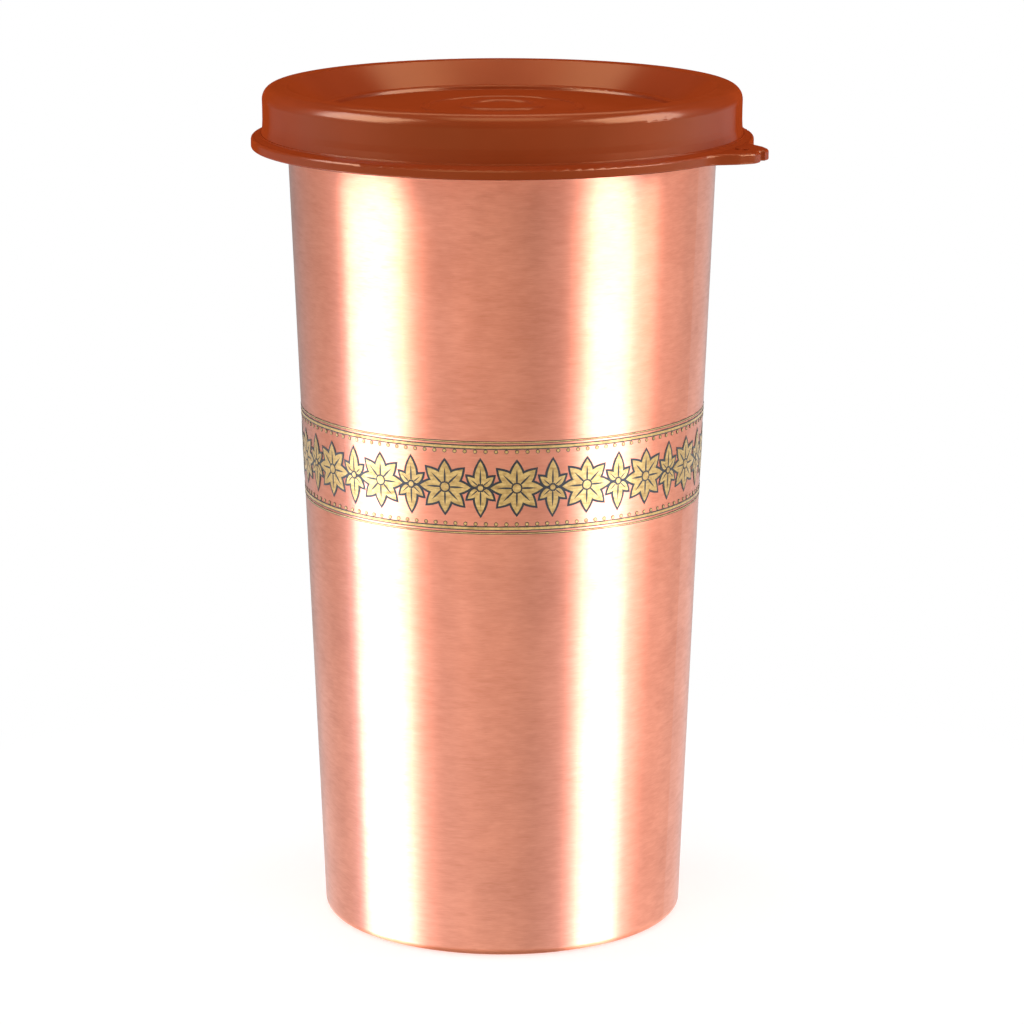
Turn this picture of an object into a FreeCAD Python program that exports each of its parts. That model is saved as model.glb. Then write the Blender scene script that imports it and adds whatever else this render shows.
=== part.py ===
"""Double-wall vacuum tumbler with a moulded push-on lid, in millimetres.

+Z is up. The origin is the centre of the foot ring, on the surface the tumbler stands on, and the lid's
pull tab points along +X. The steel cup is two drawn walls joined at the mouth, where the liner is rolled
over the shell's edge, and closed below by a pressed base plate. The lid is one moulding: a band that goes
over the rolled rim, a flange with a pull tab, and a recessed top whose sealing lip drops inside the mouth.
"""
import FreeCAD, Part
import math
import os
import re

import Sketcher

# Driving dimensions, in millimetres and degrees.
SIZES = {
    # outer shell
    "cup_height": 145.4,
    "mouth_radius": 37.28,
    "base_radius": 31.55,
    "shell_wall": 0.6,
    "heel_bend": 1.5,
    "foot_width": 4.0,
    "foot_bend": 1.1,
    "foot_height": 3.5,
    # inner liner
    "liner_wall": 0.5,
    "side_gap": 2.5,
    "base_gap": 7.5,
    "liner_bend": 6.0,
    "neck_length": 6.0,
    "shoulder_length": 6.5,
    "shoulder_bend": 3.5,
    "curl_radius": 1.85,
    "curl_gap": 0.2,
    # base plate and what it carries
    "plate_wall": 0.5,
    "plate_bend": 0.9,
    "plate_rim_height": 2.0,
    "swage_radius": 21.0,
    "swage_width": 2.4,
    "swage_height": 0.6,
    "dimple_radius": 5.0,
    "dimple_depth": 1.2,
    "vent_radius": 0.75,
    "bead_radius": 2.6,
    "bead_drop": 0.9,
    "bead_rise": 0.4,
    "cover_wall": 0.4,
    "cover_gap": 0.1,
    "cover_coin_radius": 20.0,
    "cover_coin_depth": 0.15,
    # getter and foil in the vacuum space
    "getter_radius": 4.0,
    "getter_height": 2.5,
    "getter_edge": 0.4,
    "getter_offset": 13.0,
    "holder_wall": 0.3,
    "holder_width": 4.0,
    "holder_foot": 2.2,
    "holder_gap": 0.1,
    "foil_wall": 0.1,
    "foil_gap": 0.15,
    "foil_margin": 4.0,
    # lid
    "lid_wall": 1.2,
    "lid_depth": 10.4,
    "rim_clearance": 0.28,
    "top_clearance": 0.3,
    "slope_clearance": 0.3,
    "shoulder_round": 2.2,
    "band_draft": 0.08,
    "flare_height": 1.8,
    "flare_width": 0.2,
    "flare_round": 9.0,
    "step_width": 0.4,
    "step_height": 0.2,
    "flange_width": 1.95,
    "flange_height": 2.15,
    "flange_fall": 0.35,
    "flange_land": 0.6,
    "flange_lip": 1.0,
    "flange_round": 0.45,
    "core_depth": 1.0,
    "lead_in": 0.4,
    "snap_height": 0.12,
    "snap_drop": 1.0,
    "snap_width": 0.9,
    "recess_slope": 33.0,
    "recess_depth": 3.8,
    "ledge_width": 0.8,
    "ledge_step": 0.8,
    "ledge_run": 0.2,
    "ledge_round": 0.45,
    "dome_rise": 1.0,
    "lip_wall": 1.0,
    "lip_reach": 3.4,
    "lip_clearance": 0.3,
    # moulded rings in the middle of the lid
    "outer_ring_radius": 13.4,
    "outer_ring_width": 1.6,
    "outer_ring_height": 0.32,
    "inner_ring_radius": 6.35,
    "inner_ring_width": 2.3,
    "inner_ring_height": 0.45,
    "button_radius": 3.4,
    "button_height": 0.22,
    "ring_sink": 0.05,
    # pull tab
    "tab_reach": 5.2,
    "tab_tip_width": 6.0,
    "tab_shoulder_width": 10.8,
    "tab_shoulder_reach": 3.2,
    "tab_root_width": 17.6,
    "tab_blend": 5.0,
    "tab_shoulder_round": 4.0,
    "tab_tip_round": 2.4,
    "tab_wall": 1.1,
    "nick_radius": 1.0,
    "nick_depth": 0.9,
    "pip_radius": 0.45,
    "pip_height": 0.2,
    "pip_reach": 0.7,
    "pip_spacing": 1.5,
}

# What follows from them: places and radii that pieces share, so that what fits keeps its clearance.
FITS = {
    "seat_height": "cup_height - curl_radius",
    "taper": "(mouth_radius - base_radius) / seat_height",
    "inner_heel_radius": "base_radius + taper * shell_wall - shell_wall",
    "upstand_radius": "base_radius - foot_width",
    # liner
    "liner_base": "foot_height + base_gap",
    "liner_low_radius": "base_radius + taper * liner_base - shell_wall - side_gap",
    "shoulder_top": "seat_height - neck_length",
    "shoulder_base": "shoulder_top - shoulder_length",
    "shoulder_low_radius": "base_radius + taper * shoulder_base - shell_wall - side_gap",
    "shoulder_high_radius": "base_radius + taper * shoulder_top - shell_wall",
    "shoulder_shift": "liner_wall * tan(atan(side_gap / shoulder_length) / 2)",
    "neck_radius": "mouth_radius - shell_wall",
    "curl_centre": "neck_radius - liner_wall + curl_radius",
    "curl_outer": "curl_centre + curl_radius",
    "curl_turn": "(mouth_radius + curl_gap - curl_centre) / curl_radius",
    # base
    "plate_under": "foot_height - plate_wall",
    "plate_rim": "foot_height - plate_rim_height",
    "dimple_under": "plate_under + dimple_depth",
    "swage_inner": "swage_radius - swage_width / 2",
    "swage_outer": "swage_radius + swage_width / 2",
    "cover_radius": "upstand_radius - plate_bend - cover_gap",
    "cover_under": "plate_under - cover_wall",
    "getter_side": "getter_radius + holder_gap",
    "getter_top": "foot_height + getter_height",
    "foil_base": "liner_base + liner_bend + foil_margin",
    "foil_top": "shoulder_base - foil_margin",
    "foil_low_radius": "base_radius + taper * foil_base - shell_wall - side_gap + foil_gap",
    "foil_high_radius": "base_radius + taper * foil_top - shell_wall - side_gap + foil_gap",
    # lid band and flange
    "band_inner": "curl_outer + rim_clearance",
    "band_outer": "band_inner + lid_wall",
    "lid_top": "cup_height + top_clearance + lid_wall",
    "crown_under": "lid_top - lid_wall",
    "skirt_base": "lid_top - lid_depth",
    "flange_radius": "band_outer + flange_width",
    "flange_top": "skirt_base + flange_height",
    "step_radius": "band_outer + step_width",
    "step_top": "flange_top + step_height",
    "flange_edge": "flange_top - flange_fall",
    "flare_radius": "band_outer - band_draft + flare_width",
    "flare_top": "step_top + flare_height",
    "snap_middle": "seat_height - curl_radius - snap_drop",
    # recessed top: its sloping wall keeps a set distance from the middle of the rolled rim
    "slope_inner": "curl_radius + slope_clearance",
    "slope_outer": "slope_inner + lid_wall",
    "recess_radius":
        "curl_centre + ((lid_top - seat_height) * cos(recess_slope) - slope_outer) / sin(recess_slope)",
    "recess_under_radius":
        "curl_centre + ((crown_under - seat_height) * cos(recess_slope) - slope_inner) / sin(recess_slope)",
    "ledge_height": "lid_top - recess_depth",
    "ledge_radius": "recess_radius - recess_depth / tan(recess_slope)",
    "floor_height": "ledge_height - ledge_step",
    "ledge_inner": "ledge_radius - ledge_width",
    "floor_radius": "ledge_inner - ledge_run",
    "floor_under": "floor_height - lid_wall",
    "floor_under_radius":
        "curl_centre + ((floor_under - seat_height) * cos(recess_slope) - slope_inner) / sin(recess_slope)",
    "dome_top": "floor_height + dome_rise",
    "dome_radius": "(floor_radius ^ 2 + dome_rise ^ 2) / (2 * dome_rise)",
    "dome_under_radius": "(floor_under_radius ^ 2 + dome_rise ^ 2) / (2 * dome_rise)",
    "lip_base": "seat_height - lip_reach",
    "lip_outer": "base_radius + taper * lip_base - shell_wall - liner_wall - lip_clearance",
    "lip_inner": "lip_outer - lip_wall",
    "lip_outer_top":
        "seat_height + (slope_inner + (lip_outer - curl_centre) * sin(recess_slope)) / cos(recess_slope)",
    "lip_inner_top":
        "seat_height + (slope_inner + (lip_inner - curl_centre) * sin(recess_slope)) / cos(recess_slope)",
    # tab
    "tab_root": "flange_radius - flange_lip / 2",
    "tab_root_x": "sqrt(tab_root ^ 2 - (tab_root_width / 2) ^ 2)",
    "tab_shoulder": "flange_radius + tab_shoulder_reach",
    "tab_tip": "flange_radius + tab_reach",
    "tab_slope": "(tab_root_width - tab_shoulder_width) / 2 / (tab_shoulder - tab_root_x)",
    "core_side": "tab_shoulder_width / 2 + tab_slope * tab_shoulder - tab_wall * sqrt(1 + tab_slope ^ 2)",
    "core_root": "(band_outer + flange_radius - flange_lip) / 2",
    "core_root_x":
        "(core_side * tab_slope + sqrt(core_root ^ 2 * (1 + tab_slope ^ 2) - core_side ^ 2))"
        " / (1 + tab_slope ^ 2)",
    "core_tip_x": "tab_shoulder - tab_wall / 2",
}


def spelled(formula):
    """Put the sheet's name in front of each value that a formula names."""
    def full(word):
        name = word.group()
        if name in SIZES:
            return "Sizes." + name
        return "Fits." + name if name in FITS else name
    return re.sub(r"[a-z_]+", full, formula)


def value(formula):
    """The number that a formula gives with the sheets as they stand."""
    return float(sizes.evalExpression(spelled(formula)))


def fill_sheet(name, cells):
    """A spreadsheet with each value's name beside it."""
    sheet = doc.addObject("Spreadsheet::Sheet", name)
    for row, (alias, content) in enumerate(cells.items(), start=1):
        sheet.set(f"A{row}", alias)
        sheet.set(f"B{row}", content)
        sheet.setAlias(f"B{row}", alias)
    doc.recompute()
    return sheet


def new_body(label):
    body = doc.addObject("PartDesign::Body", label)
    body.Label = label
    return body


def new_sketch(body, name, role, height=None):
    """An empty sketch on one of the body's own planes, lifted off it by a height."""
    sketch = body.newObject("Sketcher::SketchObject", name)
    plane = next(feature for feature in body.Origin.OriginFeatures if feature.Role == role)
    sketch.AttachmentSupport = [(plane, "")]
    sketch.MapMode = "FlatFace"
    if height:
        sketch.setExpression("AttachmentOffset.Base.z", spelled(height))
    return sketch


def bind(sketch, kind, places, formula):
    """A dimension of the sketch whose size is a formula."""
    number = sketch.addConstraint(Sketcher.Constraint(kind, *places, value(formula)))
    sketch.setExpression(f"Constraints[{number}]", spelled(formula))


def pin(sketch, edge, end, spot):
    """Hold one end of an edge at a spot given by two formulas."""
    bind(sketch, "DistanceX", (-1, 1, edge, end), spot[0])
    bind(sketch, "DistanceY", (-1, 1, edge, end), spot[1])


def arc_between(start, end, radius):
    """The short arc from start to end: a positive radius turns to the left, a negative one to the right."""
    chord = end - start
    left = FreeCAD.Vector(-chord.y, chord.x, 0).normalize()
    rise = abs(radius) - (radius ** 2 - (chord.Length / 2) ** 2) ** 0.5
    bulge = start + chord * 0.5 + left * (-rise if radius > 0 else rise)
    return Part.Arc(start, bulge, end) if radius > 0 else Part.Arc(end, bulge, start)


def outline(body, name, corners, role="XZ_Plane", height=None):
    """A closed sketch through corners given as formulas; a third formula bends the edge after its corner."""
    sketch = new_sketch(body, name, role, height)
    spots = [FreeCAD.Vector(value(corner[0]), value(corner[1]), 0) for corner in corners]
    ends = []
    for number, corner in enumerate(corners):
        start, end = spots[number], spots[(number + 1) % len(spots)]
        if len(corner) == 3:
            radius = value(corner[2])
            sketch.addGeometry(arc_between(start, end, radius))
            ends.append((1, 2) if radius > 0 else (2, 1))
        else:
            sketch.addGeometry(Part.LineSegment(start, end))
            ends.append((1, 2))
    for number, corner in enumerate(corners):
        following = (number + 1) % len(corners)
        joint = Sketcher.Constraint("Coincident", number, ends[number][1], following, ends[following][0])
        sketch.addConstraint(joint)
        pin(sketch, number, ends[number][0], corner)
        if len(corner) == 3:
            bind(sketch, "Radius", (number,), f"abs({corner[2]})")
    return sketch


def circles(body, name, spots, role="XY_Plane", height=None):
    """A sketch of circles, each given by the formulas of its centre and radius."""
    sketch = new_sketch(body, name, role, height)
    for number, (across, along, radius) in enumerate(spots):
        centre = FreeCAD.Vector(value(across), value(along), 0)
        sketch.addGeometry(Part.Circle(centre, FreeCAD.Vector(0, 0, 1), value(radius)))
        pin(sketch, number, 3, (across, along))
        bind(sketch, "Radius", (number,), radius)
    return sketch


def turned(body, name, sketch):
    """Turn a sketch about the vertical axis."""
    turn = body.newObject("PartDesign::Revolution", name)
    turn.Profile = sketch
    turn.ReferenceAxis = (sketch, ["V_Axis"])
    turn.Angle = 360
    doc.recompute()


def padded(body, name, sketch, length, both_ways=False):
    pad = body.newObject("PartDesign::Pad", name)
    pad.Profile = sketch
    pad.Midplane = both_ways
    pad.setExpression("Length", spelled(length))
    doc.recompute()


def pocketed(body, name, sketch, depth):
    """Cut upward from a sketch on the underside."""
    uncut = body.Shape.Volume
    pocket = body.newObject("PartDesign::Pocket", name)
    pocket.Profile = sketch
    pocket.Reversed = True
    pocket.setExpression("Length", spelled(depth))
    doc.recompute()
    if not body.Shape.Volume < uncut:
        raise RuntimeError(f"{body.Label}: {name} cuts nothing")


def soften(body, name, radius, wanted):
    """Round the edges of the body that pass the wanted test."""
    base = body.Tip
    chosen = [f"Edge{number}" for number, edge in enumerate(base.Shape.Edges, start=1)
              if not edge.Degenerated and wanted(edge)]
    if not chosen:
        raise RuntimeError(f"{body.Label}: {name} finds no edge to round")
    fillet = body.newObject("PartDesign::Fillet", name)
    fillet.Base = (base, chosen)
    fillet.setExpression("Radius", spelled(radius))
    doc.recompute()


def ring(*spots):
    """A test for the circular edges about the vertical axis at these radii and heights."""
    places = [(value(radius), value(height)) for radius, height in spots]

    def wanted(edge):
        if not isinstance(edge.Curve, Part.Circle):
            return False
        here = edge.Curve.Radius, edge.Curve.Center.z
        return any(abs(here[0] - radius) < 0.005 and abs(here[1] - height) < 0.005
                   for radius, height in places)
    return wanted


def crease(*spots):
    """A test for the level edges along X, at these distances either side of the axis and these heights."""
    places = [(value(side), value(height)) for side, height in spots]

    def wanted(edge):
        box = edge.BoundBox
        return box.YLength < 0.001 and box.ZLength < 0.001 and any(
            abs(abs(box.YMin) - side) < 0.005 and abs(box.ZMin - height) < 0.005
            for side, height in places)
    return wanted


def upright(wanted_reach):
    """A test for the vertical edges whose distance from the axis passes a test of its own."""
    def wanted(edge):
        low, high = edge.BoundBox.ZMin, edge.BoundBox.ZMax
        if len(edge.Vertexes) != 2 or high - low < edge.Length - 0.001:
            return False
        spot = edge.Vertexes[0].Point
        return wanted_reach(math.hypot(spot.x, spot.y))
    return wanted


def rim(height, least_radius):
    """A test for the level edges at a height that lie no nearer the axis than a radius."""
    level = value(height)

    def wanted(edge):
        box = edge.BoundBox
        reach = min(math.hypot(spot.x, spot.y) for spot in edge.discretize(5))
        return abs(box.ZMin - level) < 0.001 and box.ZLength < 0.001 and reach > least_radius - 0.01
    return wanted


def mirrored(corners):
    """The same corners on the other side of the X axis, in the opposite order."""
    return [(across, f"-({along})") for across, along in reversed(corners)]


def outer_shell():
    """Tapered outer wall, turned in below to the foot ring and up to a short welding lip."""
    body = new_body("outer_shell")
    section = outline(body, "shell_section", [
        ("base_radius", "0"),
        ("mouth_radius", "seat_height"),
        ("neck_radius", "seat_height"),
        ("inner_heel_radius", "shell_wall"),
        ("upstand_radius + shell_wall", "shell_wall"),
        ("upstand_radius + shell_wall", "foot_height"),
        ("upstand_radius", "foot_height"),
        ("upstand_radius", "0"),
    ])
    turned(body, "shell_wall_and_foot", section)
    soften(body, "outer_heel", "heel_bend", ring(("base_radius", "0")))
    soften(body, "inner_heel", "heel_bend - shell_wall", ring(("inner_heel_radius", "shell_wall")))
    soften(body, "foot_outside", "foot_bend", ring(("upstand_radius", "0")))
    soften(body, "foot_inside", "foot_bend - shell_wall", ring(("upstand_radius + shell_wall", "shell_wall")))


def inner_liner():
    """Drawn cup whose shoulder widens to the shell and whose mouth is rolled over the shell's edge."""
    body = new_body("inner_liner")
    section = outline(body, "liner_section", [
        ("0", "liner_base"),
        ("liner_low_radius", "liner_base"),
        ("shoulder_low_radius", "shoulder_base"),
        ("shoulder_high_radius", "shoulder_top"),
        ("neck_radius", "seat_height"),
        ("neck_radius - liner_wall", "seat_height"),
        ("shoulder_high_radius - liner_wall", "shoulder_top + shoulder_shift"),
        ("shoulder_low_radius - liner_wall", "shoulder_base + shoulder_shift"),
        ("liner_low_radius - liner_wall", "liner_base + liner_wall"),
        ("0", "liner_base + liner_wall"),
    ])
    turned(body, "liner_wall_and_floor", section)
    soften(body, "floor_outside", "liner_bend", ring(("liner_low_radius", "liner_base")))
    soften(body, "floor_inside", "liner_bend - liner_wall",
           ring(("liner_low_radius - liner_wall", "liner_base + liner_wall")))
    soften(body, "shoulder_outside", "shoulder_bend + liner_wall",
           ring(("shoulder_high_radius", "shoulder_top")))
    soften(body, "shoulder_inside", "shoulder_bend",
           ring(("shoulder_high_radius - liner_wall", "shoulder_top + shoulder_shift")))
    soften(body, "waist_outside", "shoulder_bend", ring(("shoulder_low_radius", "shoulder_base")))
    soften(body, "waist_inside", "shoulder_bend + liner_wall",
           ring(("shoulder_low_radius - liner_wall", "shoulder_base + shoulder_shift")))
    turned(body, "rolled_rim", curl_section(body))


def curl_section(body):
    """The rolled rim in section: two arcs about one centre, from the mouth over the top to just off the shell."""
    sketch = new_sketch(body, "curl_section", "XZ_Plane")
    centre = FreeCAD.Vector(value("curl_centre"), value("seat_height"), 0)
    angles = 2 * math.pi - math.acos(value("curl_turn")), 3 * math.pi
    for radius in ("curl_radius", "curl_radius - liner_wall"):
        circle = Part.Circle(centre, FreeCAD.Vector(0, 0, 1), value(radius))
        sketch.addGeometry(Part.ArcOfCircle(circle, *angles))
    outside, inside = sketch.Geometry
    sketch.addGeometry(Part.LineSegment(outside.StartPoint, inside.StartPoint))
    sketch.addGeometry(Part.LineSegment(outside.EndPoint, inside.EndPoint))
    for places in ((0, 1, 2, 1), (1, 1, 2, 2), (0, 2, 3, 1), (1, 2, 3, 2), (0, 3, 1, 3)):
        sketch.addConstraint(Sketcher.Constraint("Coincident", *places))
    pin(sketch, 0, 3, ("curl_centre", "seat_height"))
    bind(sketch, "Radius", (0,), "curl_radius")
    bind(sketch, "Radius", (1,), "curl_radius - liner_wall")
    bind(sketch, "DistanceY", (-1, 1, 0, 2), "seat_height")
    bind(sketch, "DistanceY", (-1, 1, 1, 2), "seat_height")
    bind(sketch, "DistanceX", (-1, 1, 0, 1), "curl_centre + curl_turn * curl_radius")
    bind(sketch, "DistanceX", (-1, 1, 1, 1), "curl_centre + curl_turn * (curl_radius - liner_wall)")
    return sketch


def base_plate():
    """Pressed floor of the shell: a rim welded inside the foot, a stiffening swage and the seal's dimple."""
    body = new_body("base_plate")
    section = outline(body, "plate_section", [
        ("vent_radius", "dimple_under"),
        ("dimple_radius", "dimple_under"),
        ("dimple_radius + dimple_depth", "plate_under"),
        ("swage_inner", "plate_under"),
        ("swage_inner + swage_height", "plate_under + swage_height"),
        ("swage_outer - swage_height", "plate_under + swage_height"),
        ("swage_outer", "plate_under"),
        ("upstand_radius - plate_wall", "plate_under"),
        ("upstand_radius - plate_wall", "plate_rim"),
        ("upstand_radius", "plate_rim"),
        ("upstand_radius", "foot_height"),
        ("swage_outer", "foot_height"),
        ("swage_outer - swage_height", "foot_height + swage_height"),
        ("swage_inner + swage_height", "foot_height + swage_height"),
        ("swage_inner", "foot_height"),
        ("dimple_radius + dimple_depth", "foot_height"),
        ("dimple_radius", "foot_height + dimple_depth"),
        ("vent_radius", "foot_height + dimple_depth"),
    ])
    turned(body, "pressed_plate", section)
    soften(body, "rim_outside", "plate_bend", ring(("upstand_radius", "foot_height")))
    soften(body, "rim_inside", "plate_bend - plate_wall", ring(("upstand_radius - plate_wall", "plate_under")))


def base_cover():
    """Thin disc that hides the seal, bonded to the plate inside the foot ring."""
    body = new_body("base_cover")
    section = outline(body, "cover_section", [
        ("0", "cover_under + cover_coin_depth"),
        ("cover_coin_radius", "cover_under + cover_coin_depth"),
        ("cover_coin_radius + cover_coin_depth", "cover_under"),
        ("cover_radius - cover_wall / 2", "cover_under"),
        ("cover_radius", "cover_under + cover_wall / 2"),
        ("cover_radius", "plate_under"),
        ("0", "plate_under"),
    ])
    turned(body, "coined_disc", section)


def seal_bead():
    """Glass solder: a drop in the plate's dimple that has run up into the vent hole."""
    body = new_body("seal_bead")
    section = outline(body, "bead_section", [
        ("0", "dimple_under - bead_drop", "(bead_radius ^ 2 + bead_drop ^ 2) / (2 * bead_drop)"),
        ("bead_radius", "dimple_under"),
        ("vent_radius", "dimple_under"),
        ("vent_radius", "dimple_under + bead_rise"),
        ("0", "dimple_under + bead_rise"),
    ])
    turned(body, "solder_drop", section)


def getter_pellet():
    """Pressed tablet that keeps the vacuum clean."""
    body = new_body("getter_pellet")
    face = circles(body, "tablet_face", [("getter_offset", "0", "getter_radius")], height="foot_height")
    padded(body, "tablet", face, "getter_height")
    soften(body, "tablet_edges", "getter_edge", lambda edge: isinstance(edge.Curve, Part.Circle))


def getter_holder():
    """Strap bent over the getter, with a foot welded to the plate at each side."""
    body = new_body("getter_holder")
    inside, outside = "getter_side", "getter_side + holder_wall"
    tip = "getter_side + holder_wall + holder_foot"
    half = [
        (inside, "getter_top"),
        (inside, "foot_height"),
        (tip, "foot_height"),
        (tip, "foot_height + holder_wall"),
        (outside, "foot_height + holder_wall"),
        (outside, "getter_top + holder_wall"),
    ]
    corners = half + [(f"-({across})", height) for across, height in reversed(half)]
    strap = outline(body, "strap_section", corners, role="YZ_Plane", height="getter_offset")
    padded(body, "strap", strap, "holder_width", both_ways=True)
    soften(body, "outer_bends", "2 * holder_wall",
           crease((inside, "foot_height"), (outside, "getter_top + holder_wall")))
    soften(body, "inner_bends", "holder_wall",
           crease((inside, "getter_top"), (outside, "foot_height + holder_wall")))


def radiation_foil():
    """Copper foil wound round the liner's straight wall."""
    body = new_body("radiation_foil")
    section = outline(body, "foil_section", [
        ("foil_low_radius", "foil_base"),
        ("foil_low_radius + foil_wall", "foil_base"),
        ("foil_high_radius + foil_wall", "foil_top"),
        ("foil_high_radius", "foil_top"),
    ])
    turned(body, "foil_wrap", section)


def lid():
    """The moulded lid, from its turned section to the tab."""
    body = new_body("lid")
    section = outline(body, "lid_section", [
        # domed floor, ledge, sloping wall and crown
        ("0", "dome_top", "-dome_radius"),
        ("floor_radius", "floor_height"),
        ("ledge_inner", "ledge_height"),
        ("ledge_radius", "ledge_height"),
        ("recess_radius", "lid_top"),
        # band, step and flange
        ("band_outer", "lid_top"),
        ("band_outer - band_draft", "flare_top"),
        ("flare_radius", "step_top"),
        ("step_radius", "step_top"),
        ("step_radius", "flange_top"),
        ("flange_radius - flange_land", "flange_edge"),
        ("flange_radius", "flange_edge"),
        ("flange_radius", "skirt_base"),
        # underside of the flange, cored to an even wall
        ("flange_radius - flange_lip", "skirt_base"),
        ("flange_radius - flange_lip", "skirt_base + core_depth"),
        ("band_outer", "skirt_base + core_depth"),
        ("band_outer", "skirt_base"),
        # inside of the band, with the bead that snaps under the rolled rim
        ("band_inner + lead_in", "skirt_base"),
        ("band_inner", "skirt_base + 2 * lead_in"),
        ("band_inner", "snap_middle - snap_width / 2"),
        ("band_inner - snap_height", "snap_middle"),
        ("band_inner", "snap_middle + snap_width / 2"),
        ("band_inner", "crown_under"),
        # underside of the top, with the sealing lip
        ("recess_under_radius", "crown_under"),
        ("lip_outer", "lip_outer_top"),
        ("lip_outer", "lip_base"),
        ("lip_inner", "lip_base"),
        ("lip_inner", "lip_inner_top"),
        ("floor_under_radius", "floor_under", "dome_under_radius"),
        ("0", "floor_under + dome_rise"),
    ])
    turned(body, "moulded_lid", section)
    soften(body, "outer_shoulder", "shoulder_round", ring(("band_outer", "lid_top")))
    soften(body, "inner_shoulder", "shoulder_round - lid_wall", ring(("band_inner", "crown_under")))
    soften(body, "crown_edge", "lid_wall / 2", ring(("recess_radius", "lid_top")))
    soften(body, "ledge_crest", "ledge_round", ring(("ledge_inner", "ledge_height")))
    soften(body, "ledge_hollows", "ledge_step / 4",
           ring(("ledge_radius", "ledge_height"), ("floor_radius", "floor_height")))
    soften(body, "lip_end", "lip_wall * 0.4", ring(("lip_outer", "lip_base"), ("lip_inner", "lip_base")))
    soften(body, "step_edges", "step_height * 0.4",
           ring(("step_radius", "step_top"), ("flare_radius", "step_top")))
    soften(body, "flare_bend", "flare_round", ring(("band_outer - band_draft", "flare_top")))
    lid_rings(body)
    lid_tab(body)


def lid_rings(body):
    """Two low rounded rings in the middle of the domed floor, about a low button."""
    def rounded(radius, half_width, height):
        """From the foot of a swelling at its outer side to the next corner, sunk a little into the dome."""
        rise = f"({height} + ring_sink)"
        level = f"dome_top - ({radius}) ^ 2 / (2 * dome_radius) - ring_sink"
        return radius, level, f"(({half_width}) ^ 2 + {rise} ^ 2) / (2 * {rise})"

    corners = [("0", "floor_height"), ("outer_ring_radius + outer_ring_width / 2", "floor_height")]
    for name in ("outer_ring", "inner_ring"):
        half = f"{name}_width / 2"
        outer = rounded(f"{name}_radius + {half}", half, f"{name}_height")
        corners += [outer, (f"{name}_radius - {half}", outer[1])]
    button = rounded("button_radius", "button_radius", "button_height")
    corners += [button, ("0", f"{button[1]} + button_height + ring_sink")]
    turned(body, "moulded_rings", outline(body, "rings_section", corners))


def lid_tab(body):
    """The pull tab on the flange: nicked tip, edges rounded with the flange's, and a cored underside."""
    half = [
        ("tab_tip", "tab_tip_width / 2"),
        ("tab_shoulder", "tab_shoulder_width / 2"),
        ("tab_root_x", "tab_root_width / 2"),
    ]
    plan = outline(body, "tab_plan", mirrored(half) + half, role="XY_Plane", height="skirt_base")
    padded(body, "tab", plan, "flange_height - flange_fall")
    flange_radius = value("flange_radius")
    soften(body, "tab_blends", "tab_blend", upright(lambda reach: abs(reach - flange_radius) < 0.005))
    middle = (value("tab_shoulder") + value("tab_tip")) / 2
    soften(body, "tab_tip_corners", "tab_tip_round", upright(lambda reach: reach > middle))
    soften(body, "tab_shoulders", "tab_shoulder_round", upright(lambda reach: flange_radius + 1 < reach < middle))
    nick = [("tab_tip - nick_depth + nick_radius", "0", "nick_radius")]
    pocketed(body, "tip_nick", circles(body, "nick_plan", nick, height="skirt_base"), "flange_height")
    soften(body, "flange_top_edge", "flange_round", rim("flange_edge", flange_radius))
    soften(body, "flange_low_edge", "flange_round / 2", rim("skirt_base", flange_radius))
    core = [
        ("tab_tip - nick_depth - tab_wall", "tab_tip_width / 2 - tab_wall / 2"),
        ("core_tip_x", "core_side - tab_slope * core_tip_x"),
        ("core_root_x", "core_side - tab_slope * core_root_x"),
    ]
    corners = mirrored(core) + core[:-1] + [core[-1] + ("-core_root",)]
    plan = outline(body, "core_plan", corners, role="XY_Plane", height="skirt_base")
    pocketed(body, "tab_core", plan, "core_depth")
    pips = [(f"flange_radius + pip_reach + {step} * pip_spacing", "0", "pip_radius") for step in (0, 1)]
    padded(body, "pips", circles(body, "pip_plan", pips, height="flange_edge"), "pip_height")


def write_parts():
    """Check every object and write each sub-part to its own file."""
    broken = [thing.Name for thing in doc.Objects if {"Invalid", "Error"} & set(thing.State)]
    if broken:
        raise RuntimeError(f"not computed: {broken}")
    os.makedirs("parts", exist_ok=True)
    for body in doc.findObjects("PartDesign::Body"):
        if body.Shape.isNull() or not body.Shape.isValid():
            raise RuntimeError(f"{body.Label} has no valid shape")
        body.Shape.exportStep(f"parts/{body.Label}.step")
        print(f"{body.Label:16s} {len(body.Shape.Solids)} solid  {body.Shape.Volume:10.2f} mm3")


doc = FreeCAD.newDocument("tumbler")
sizes = fill_sheet("Sizes", {name: str(size) for name, size in SIZES.items()})
fits = fill_sheet("Fits", {name: "=" + spelled(formula) for name, formula in FITS.items()})
for make in (outer_shell, inner_liner, base_plate, base_cover, seal_bead, getter_pellet, getter_holder,
             radiation_foil, lid):
    make()
doc.recompute()
write_parts()
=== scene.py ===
"""Finishes, printed frieze, lights and camera for the double-wall tumbler and its push-on lid.

Metres, +Z up. The foot ring stands at the origin and the lid's pull tab points along +X. Every solid of the
tumbler comes from the frame; the only new piece is the frieze printed round the outer shell.
"""
import math

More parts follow.
